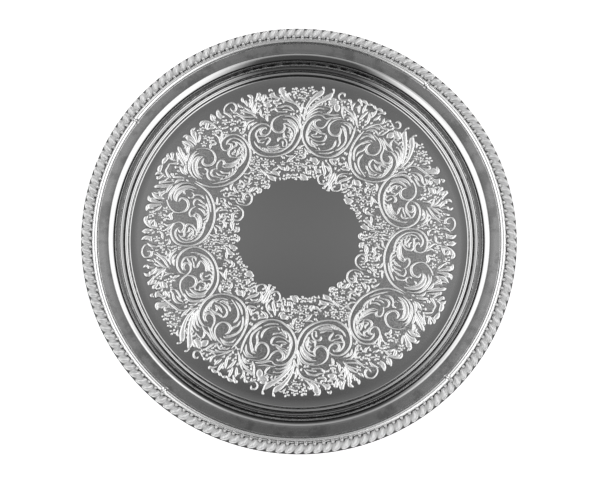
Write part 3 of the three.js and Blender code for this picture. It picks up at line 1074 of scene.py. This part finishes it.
def ridges(name, strokes, highest, tree, section):
    """Raises all the strokes, in the four quarters of the well, as one piece."""
    curve = bpy.data.curves.new("strokes", "CURVE")
    curve.dimensions = "3D"
    c, s = math.cos(ORNAMENT_AXIS), math.sin(ORNAMENT_AXIS)
    step = 0.8
    for half, form, points in strokes:
        line = smooth_points(points, step)
        wide = STROKE_WIDTH[form] * half
        widths = [wide * width_share(form, i / (len(line) - 1)) for i in range(len(line))]
        for flip_x, flip_y in ((1, 1), (1, -1), (-1, 1), (-1, -1)):
            spline = curve.splines.new("POLY")
            spline.points.add(len(line) - 1)
            for point, (x, y), width in zip(spline.points, line, widths):
                x, y = x * flip_x, y * flip_y
                point.co = ((x * c - y * s) * MM, (x * s + y * c) * MM, FLOOR_TOP, 1)
                point.radius = width * MM
    work = bpy.data.objects.new("strokes", curve)
    bpy.context.scene.collection.objects.link(work)
    add_modifier(
        work, tree, {"Section": section, "Floor": FLOOR_TOP, "Highest": highest, "Material": CHASED_SILVER}
    )
    keep(bake(work, name), "silver_sheet")


def ridge_section():
    """The section of a ridge of half width 1: a low rounded gable with its foot sunk in the floor."""
    sunk, steps = 0.12, 8
    points = [(-1 + 2 * i / steps) for i in range(steps + 1)]
    top = [(x, RIDGE_HEIGHT * (1 - abs(x) ** 1.5)) for x in points]
    outline = top + [(1, -sunk), (-1, -sunk)]
    curve = bpy.data.curves.new("ridge_section", "CURVE")
    curve.dimensions = "3D"
    spline = curve.splines.new("POLY")
    spline.points.add(len(outline) - 1)
    for point, (x, y) in zip(spline.points, outline):
        point.co = (x, -y, 0, 1)
    spline.use_cyclic_u = True
    section = bpy.data.objects.new("ridge_section", curve)
    bpy.context.scene.collection.objects.link(section)
    section.hide_render = True
    return section


def ornament():
    tree = ridge_tree()
    section = ridge_section()
    # (piece, strokes, greatest height in millimetres)
    for name, strokes, highest in (
        ("first_scrolls", FIRST_SCROLL, 0.42),
        ("second_scrolls", SECOND_SCROLL, 0.42),
        ("third_scrolls", THIRD_SCROLL, 0.42),
        ("outer_flowers", OUTER_FLOWERS, 0.55),
        ("inner_flowers", INNER_FLOWERS, 0.5),
    ):
        ridges(f"chased_{name}", strokes, highest * MM, tree, section)
    drawn = FIRST_SCROLL + SECOND_SCROLL + THIRD_SCROLL + OUTER_FLOWERS + INNER_FLOWERS
    filling = filling_leaves(drawn, 45.5, 111.5, 2.4, 11)
    ridges("chased_filling_leaves", filling, 0.4 * MM, tree, section)
    bpy.data.objects.remove(section)


# ---------------------------------------------------------------- floor, light and camera


def stage():
    half = 6.0
    corners = [(-half, -half, 0), (half, -half, 0), (half, half, 0), (-half, half, 0)]
    floor = new_object("studio_floor", corners, [(0, 1, 2, 3)], pale_floor(), smooth=False)


def studio_light():
    """A soft tent: a grey top that the flat metal mirrors, a bright ring round it, and plain sides."""
    world = bpy.data.worlds.new("soft_tent")
    world.use_nodes = True
    world.node_tree.nodes.clear()
    graph = Graph(world.node_tree)
    way = graph.node("ShaderNodeTexCoord", out=0)
    x, y, z = graph.split(way)
    along = y - MIRRORED_Y
    off_mirror = (x * x + along * along) ** 0.5
    top = graph.ramp(y, [(0, 0.08), (0.08, 0.09), (0.213, 0.185), (0.336, 0.13), (0.37, 0.17), (0.6, 0.2)])
    top = top + x * x * 5.5
    sideways = abs(x) / ((x * x + y * y + 0.0001) ** 0.5)
    side = graph.rise(sideways, 0.35, 0.8)
    high = graph.rise(z, 0.36, 0.56)
    low = 1 - graph.rise(z, 0.0, 0.1)
    dark, front_glow, side_glow, low_glow = 0.015, 0.06, 1.25, 0.55
    walls = dark + (front_glow + side_glow * side) * high + low_glow * low
    top_ends, ring_starts, ring_ends, walls_start = 0.2, 0.28, 0.42, 0.6
    past_top = graph.rise(off_mirror, top_ends, ring_starts)
    past_ring = graph.rise(off_mirror, ring_ends, walls_start)
    from_side = (abs(x) + 0.2 * x) / (off_mirror + 0.0001)
    ring_glow, ring_side_glow = 0.42, 0.95
    ring = ring_glow + ring_side_glow * graph.rise(from_side, 0.3, 0.75)
    ring = ring * (1 - past_ring) + walls * past_ring
    level = top * (1 - past_top) + ring * past_top
    shade = graph.node("ShaderNodeCombineXYZ", None, {0: level, 1: level, 2: level})
    glow = graph.node("ShaderNodeBackground", None, {"Color": shade, "Strength": 1.0})
    graph.node("ShaderNodeOutputWorld", None, {"Surface": glow})
    bpy.context.scene.world = world
    bpy.context.scene.view_settings.view_transform = "Standard"


def camera():
    """Looks down at the middle of the well, a little from the front, with a slight roll."""
    elevation, roll = math.radians(77.7), math.radians(3.58)
    distance = 5.67 * PLATE_RADIUS
    target = Vector((0, 0, FLOOR_TOP))
    back = Vector((0, -math.cos(elevation), math.sin(elevation)))
    data = bpy.data.cameras.new("camera")
    data.sensor_width = 36
    data.lens = 73.1
    data.shift_x, data.shift_y = 0.0013, -0.0044
    eye = bpy.data.objects.new("camera", data)
    eye.matrix_world = Matrix.Translation(target + back * distance) @ (
        back.to_track_quat("Z", "Y").to_matrix().to_4x4() @ Matrix.Rotation(roll, 4, "Z")
    )
    bpy.context.scene.collection.objects.link(eye)
    bpy.context.scene.camera = eye


stage()
studio_light()
camera()
keep(pressed_plate(), "silver_sheet", "pressed_plate")
border_sections()
ornament()
